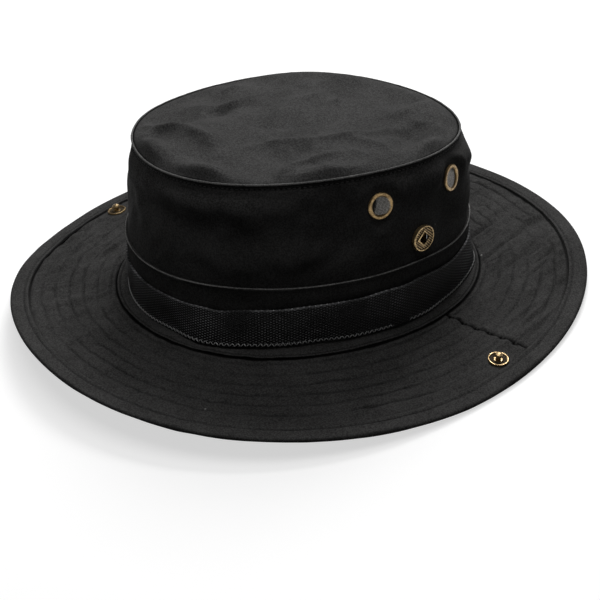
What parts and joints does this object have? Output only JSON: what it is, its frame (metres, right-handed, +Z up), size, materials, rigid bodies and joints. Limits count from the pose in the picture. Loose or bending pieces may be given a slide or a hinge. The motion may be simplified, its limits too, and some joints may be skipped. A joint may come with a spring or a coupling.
{
  "type": "boonie hat",
  "caption": "Soft wide-brim boonie hat with a webbing band, screened vents and side flaps that fold up and snap to the crown.",
  "frame": {"origin": "on the surface the hat stands on, under the middle of its bounding box", "axes": "+X to the wearer's right through the side studs, +Y to the wearer's back, +Z up through the crown"},
  "size_m": [0.3502, 0.3482, 0.1224],
  "materials": {
    "cotton_drill": "matte",
    "webbing": "matte",
    "lining_tape": "matte",
    "interlining": "matte",
    "antique_brass": "satin",
    "vent_mesh": "satin",
    "spring_steel": "satin"
  },
  "bodies": {
    "hat": {"crown_wall_back": "cotton_drill", "crown_wall_front": "cotton_drill", "crown_top": "cotton_drill", "top_seam_tape": "lining_tape", "lower_band": "cotton_drill", "webbing_band": "webbing", "sweatband": "lining_tape", "webbing_tack": "webbing", "brim_back_upper": "cotton_drill", "brim_back_stiffener": "interlining", "brim_back_lining": "cotton_drill", "brim_back_hem": "cotton_drill", "brim_front_upper": "cotton_drill", "brim_front_stiffener": "interlining", "brim_front_lining": "cotton_drill", "brim_front_hem": "cotton_drill", "brim_collar": "cotton_drill", "right_socket": "antique_brass", "right_socket_springs": "spring_steel", "right_socket_cap": "antique_brass", "right_front_vent_ring": "antique_brass", "right_front_vent_screen": "vent_mesh", "right_front_vent_washer": "antique_brass", "right_back_vent_ring": "antique_brass", "right_back_vent_screen": "vent_mesh", "right_back_vent_washer": "antique_brass", "left_socket": "antique_brass", "left_socket_springs": "spring_steel", "left_socket_cap": "antique_brass", "left_front_vent_ring": "antique_brass", "left_front_vent_screen": "vent_mesh", "left_front_vent_washer": "antique_brass", "left_back_vent_ring": "antique_brass", "left_back_vent_screen": "vent_mesh", "left_back_vent_washer": "antique_brass"},
    "right_flap": {"right_flap_upper": "cotton_drill", "right_flap_stiffener": "interlining", "right_flap_lining": "cotton_drill", "right_flap_hem": "cotton_drill", "right_stud": "antique_brass", "right_stud_cap": "antique_brass"},
    "left_flap": {"left_flap_upper": "cotton_drill", "left_flap_stiffener": "interlining", "left_flap_lining": "cotton_drill", "left_flap_hem": "cotton_drill", "left_stud": "antique_brass", "left_stud_cap": "antique_brass"}
  },
  "joints": [
    {"name": "right_flap_fold", "type": "hinge", "parent": "hat", "child": "right_flap", "pos_m": [0.10419, 0.00486, 0.0148], "axis": [-0.1054, -0.9942, -0.0193], "range_deg": [0, 99.42], "stiffness_Nm_per_rad": 0.12, "springref_deg": -28.65},
    {"name": "left_flap_fold", "type": "hinge", "parent": "hat", "child": "left_flap", "pos_m": [-0.10476, -0.00287, 0.01221], "axis": [0.0434, 0.9988, 0.0233], "range_deg": [0, 98.3], "stiffness_Nm_per_rad": 0.12, "springref_deg": -28.65}
  ]
}
